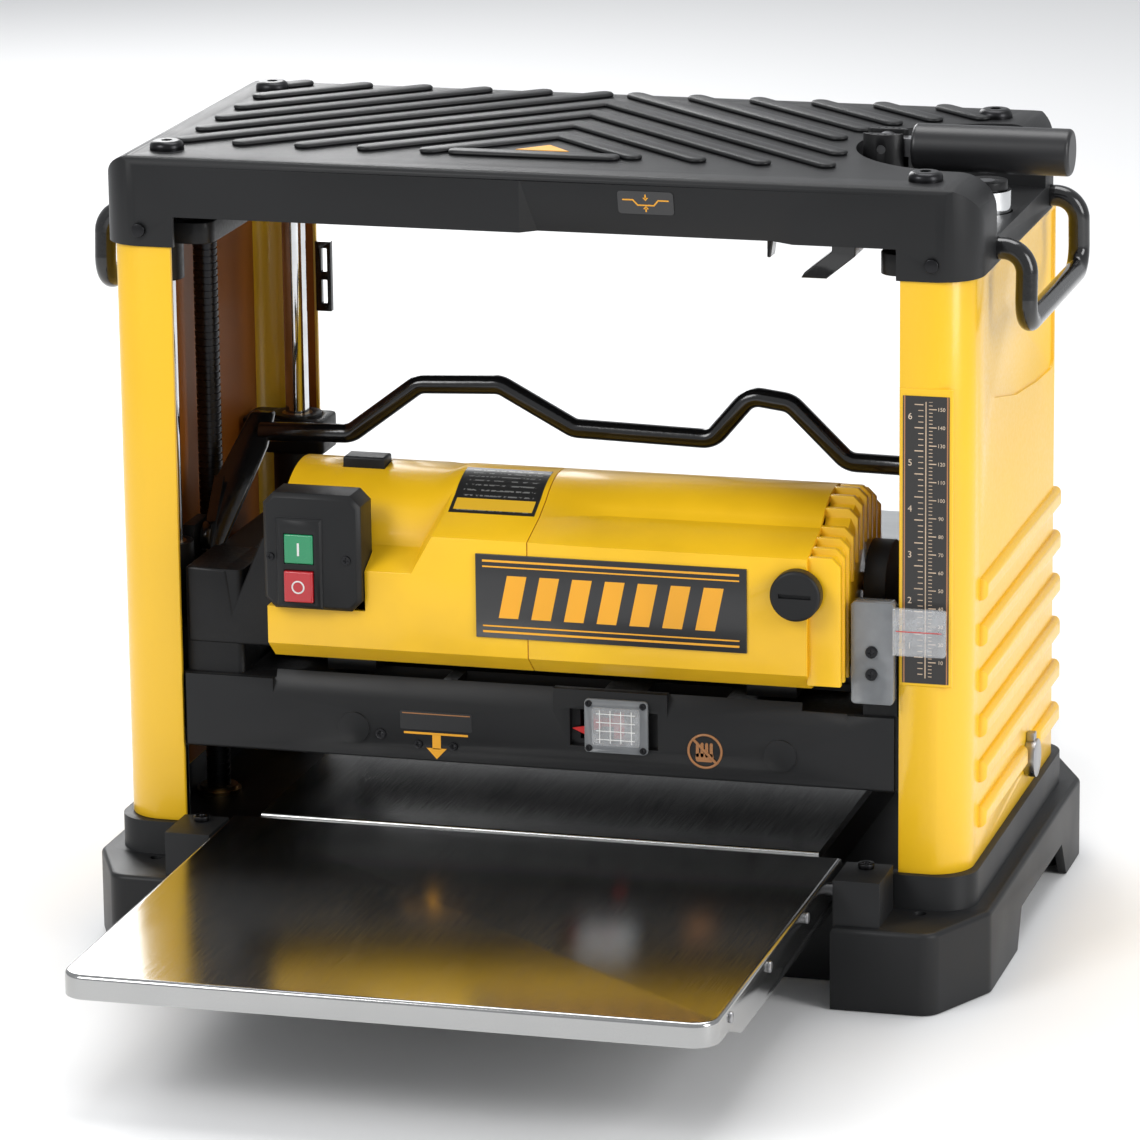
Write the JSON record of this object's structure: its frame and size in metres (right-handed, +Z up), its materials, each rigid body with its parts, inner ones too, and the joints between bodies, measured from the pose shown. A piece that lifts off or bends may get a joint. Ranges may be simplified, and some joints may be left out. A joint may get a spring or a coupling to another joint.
{
  "type": "thickness planer",
  "caption": "Portable bench thickness planer: a motor-driven cutterhead carriage raised by a folding crank on posts over a fixed bed, with folding infeed and outfeed tables.",
  "frame": {"origin": "on the floor under the middle of the bed", "axes": "+X to the operator's right, +Y the way the work is fed, from the infeed side to the outfeed side, +Z up"},
  "size_m": [0.542, 0.848, 0.456],
  "materials": {
    "yellow_panel": "satin powder coat",
    "yellow_housing": "satin moulded plastic",
    "black_moulding": "fine moulded grain",
    "black_casting": "satin black paint over casting",
    "black_steel": "gloss black",
    "grip_plastic": "satin",
    "bed_steel": "ground and polished",
    "chrome": "polished",
    "machine_steel": "machined",
    "dark_screw": "black oxide",
    "bronze": "turned",
    "rubber": "matt",
    "clear_lens": "clear",
    "smoke_lens": "smoked",
    "scale_print": "printed foil",
    "badge_print": "printed plate",
    "winding": "enamelled copper and laminated steel",
    "green_button": "gloss",
    "red_button": "gloss",
    "red_pointer": "gloss",
    "chute_sheet": "galvanised sheet",
    "knife_steel": "ground"
  },
  "bodies": {
    "frame": {"base": "black_moulding", "rubber_feet": "rubber", "bed_plate": "bed_steel", "guide_posts": "chrome", "top_brackets": "black_casting", "screw_bearings": "bronze", "top_cover": "black_moulding", "cover_bolts": "dark_screw", "case_screws": "dark_screw", "right_carry_handle": "black_steel", "left_carry_handle": "black_steel", "right_side_cover": "yellow_panel", "left_side_cover": "yellow_panel", "depth_scale": "scale_print", "clips": "black_steel", "elevation_chain": "machine_steel", "crank_bearing": "chrome", "hinge_pins": "machine_steel"},
    "crank": {"right_lead_screw": "machine_steel", "crank_arm": "black_casting"},
    "grip_fold": {"grip_spindle": "machine_steel"},
    "grip": {"crank_grip": "grip_plastic"},
    "left_screw": {"left_lead_screw": "machine_steel"},
    "front_table": {"front_table": "bed_steel"},
    "rear_table": {"rear_table": "bed_steel"},
    "depth_stop": {"depth_stop_turret": "machine_steel"},
    "carriage": {"carriage_casting": "black_casting", "guide_bushes": "bronze", "lead_nuts": "bronze", "front_cover": "black_moulding", "gauge_window": "clear_lens", "chip_chute": "chute_sheet", "motor_housing_left": "yellow_housing", "motor_housing_right": "yellow_housing", "motor_stator": "winding", "brush_caps": "black_moulding", "drive_belt": "rubber", "belt_cover": "black_moulding", "switch_box": "black_moulding", "badge_plate": "badge_print", "bearings": "machine_steel", "feed_chain": "machine_steel", "gearbox_cover": "black_moulding", "pointer_bracket": "smoke_lens", "pointer_lens": "clear_lens"},
    "gauge": {"gauge_pointer": "red_pointer"},
    "start": {"start_button": "green_button"},
    "stop": {"stop_button": "red_button"},
    "reset": {"reset_button": "black_moulding"},
    "motor": {"motor_armature": "winding", "motor_fan": "black_moulding"},
    "cutter": {"cutterhead": "machine_steel", "knives": "knife_steel", "knife_clamps": "machine_steel"},
    "infeed": {"infeed_roller": "machine_steel"},
    "outfeed": {"outfeed_roller": "rubber"},
    "first_gear": {"first_reduction_gear": "machine_steel"},
    "idler": {"idler_gear": "machine_steel"},
    "second_gear": {"second_reduction_gear": "machine_steel"},
    "lock": {"lock_bar": "black_steel"}
  },
  "joints": [
    {"name": "crank_turn", "type": "hinge", "parent": "frame", "child": "crank", "pos_m": [0.226, -0.01, 0.424], "axis": [0, 0, 1], "range_deg": [-7450, 25945]},
    {"name": "grip_fold", "type": "hinge", "parent": "crank", "child": "grip_fold", "pos_m": [0.17, -0.01, 0.443], "axis": [0, -1, 0], "range_deg": [0, 90]},
    {"name": "grip_spin", "type": "hinge", "parent": "grip_fold", "child": "grip", "pos_m": [0.23, -0.01, 0.443], "axis": [1, 0, 0], "continuous": true},
    {"name": "left_screw_turn", "type": "hinge", "parent": "frame", "child": "left_screw", "pos_m": [-0.226, -0.01, 0.2], "axis": [0, 0, 1], "range_deg": [-7450, 25945]},
    {"name": "carriage_lift", "type": "slide", "parent": "frame", "child": "carriage", "axis": [0, 0, 1], "range_m": [-0.033, 0.115]},
    {"name": "front_table_fold", "type": "hinge", "parent": "frame", "child": "front_table", "pos_m": [0, -0.155, 0.06], "axis": [-1, 0, 0], "range_deg": [0, 80]},
    {"name": "rear_table_fold", "type": "hinge", "parent": "frame", "child": "rear_table", "pos_m": [0, 0.155, 0.06], "axis": [1, 0, 0], "range_deg": [0, 80]},
    {"name": "depth_stop_turn", "type": "hinge", "parent": "frame", "child": "depth_stop", "pos_m": [0.245, 0.038, 0.084], "axis": [1, 0, 0], "range_deg": [0, 270]},
    {"name": "gauge_rise", "type": "slide", "parent": "carriage", "child": "gauge", "axis": [0, 0, 1], "range_m": [0, 0.0032], "stiffness_N_per_m": 60, "springref_m": -0.003},
    {"name": "start_press", "type": "slide", "parent": "carriage", "child": "start", "axis": [0, 1, 0], "range_m": [0, 0.002], "stiffness_N_per_m": 400, "springref_m": -0.001},
    {"name": "stop_press", "type": "slide", "parent": "carriage", "child": "stop", "axis": [0, 1, 0], "range_m": [0, 0.0025], "stiffness_N_per_m": 400, "springref_m": -0.001},
    {"name": "reset_press", "type": "slide", "parent": "carriage", "child": "reset", "axis": [0, 0, -1], "range_m": [0, 0.002], "stiffness_N_per_m": 400, "springref_m": -0.001},
    {"name": "lock_swing", "type": "hinge", "parent": "carriage", "child": "lock", "pos_m": [0, -0.06, 0.212], "axis": [-1, 0, 0], "range_deg": [0, 30]},
    {"name": "cutter_spin", "type": "hinge", "parent": "carriage", "child": "cutter", "pos_m": [0, 0, 0.133], "axis": [-1, 0, 0], "continuous": true},
    {"name": "motor_spin", "type": "hinge", "parent": "carriage", "child": "motor", "pos_m": [0, -0.08, 0.214], "axis": [-1, 0, 0], "continuous": true},
    {"name": "first_gear_spin", "type": "hinge", "parent": "carriage", "child": "first_gear", "pos_m": [-0.184, -0.028, 0.16226], "axis": [1, 0, 0], "continuous": true},
    {"name": "idler_spin", "type": "hinge", "parent": "carriage", "child": "idler", "pos_m": [-0.191, -0.0145, 0.16226], "axis": [1, 0, 0], "continuous": true},
    {"name": "second_gear_spin", "type": "hinge", "parent": "carriage", "child": "second_gear", "pos_m": [-0.191, 0.0305, 0.16226], "axis": [1, 0, 0], "continuous": true},
    {"name": "infeed_spin", "type": "hinge", "parent": "carriage", "child": "infeed", "pos_m": [0, -0.062, 0.121], "axis": [1, 0, 0], "continuous": true},
    {"name": "outfeed_spin", "type": "hinge", "parent": "carriage", "child": "outfeed", "pos_m": [0, 0.062, 0.121], "axis": [1, 0, 0], "continuous": true}
  ],
  "couplings": [
    {"joint": "crank_turn", "follows": "carriage_lift", "rad_per_m": 3927},
    {"joint": "left_screw_turn", "follows": "carriage_lift", "rad_per_m": 3927},
    {"joint": "motor_spin", "follows": "cutter_spin", "ratio": 1.4167},
    {"joint": "first_gear_spin", "follows": "cutter_spin", "ratio": 0.125},
    {"joint": "idler_spin", "follows": "cutter_spin", "ratio": -0.0625},
    {"joint": "second_gear_spin", "follows": "cutter_spin", "ratio": 0.015625},
    {"joint": "infeed_spin", "follows": "cutter_spin", "ratio": 0.0097656},
    {"joint": "outfeed_spin", "follows": "cutter_spin", "ratio": 0.0097656}
  ]
}
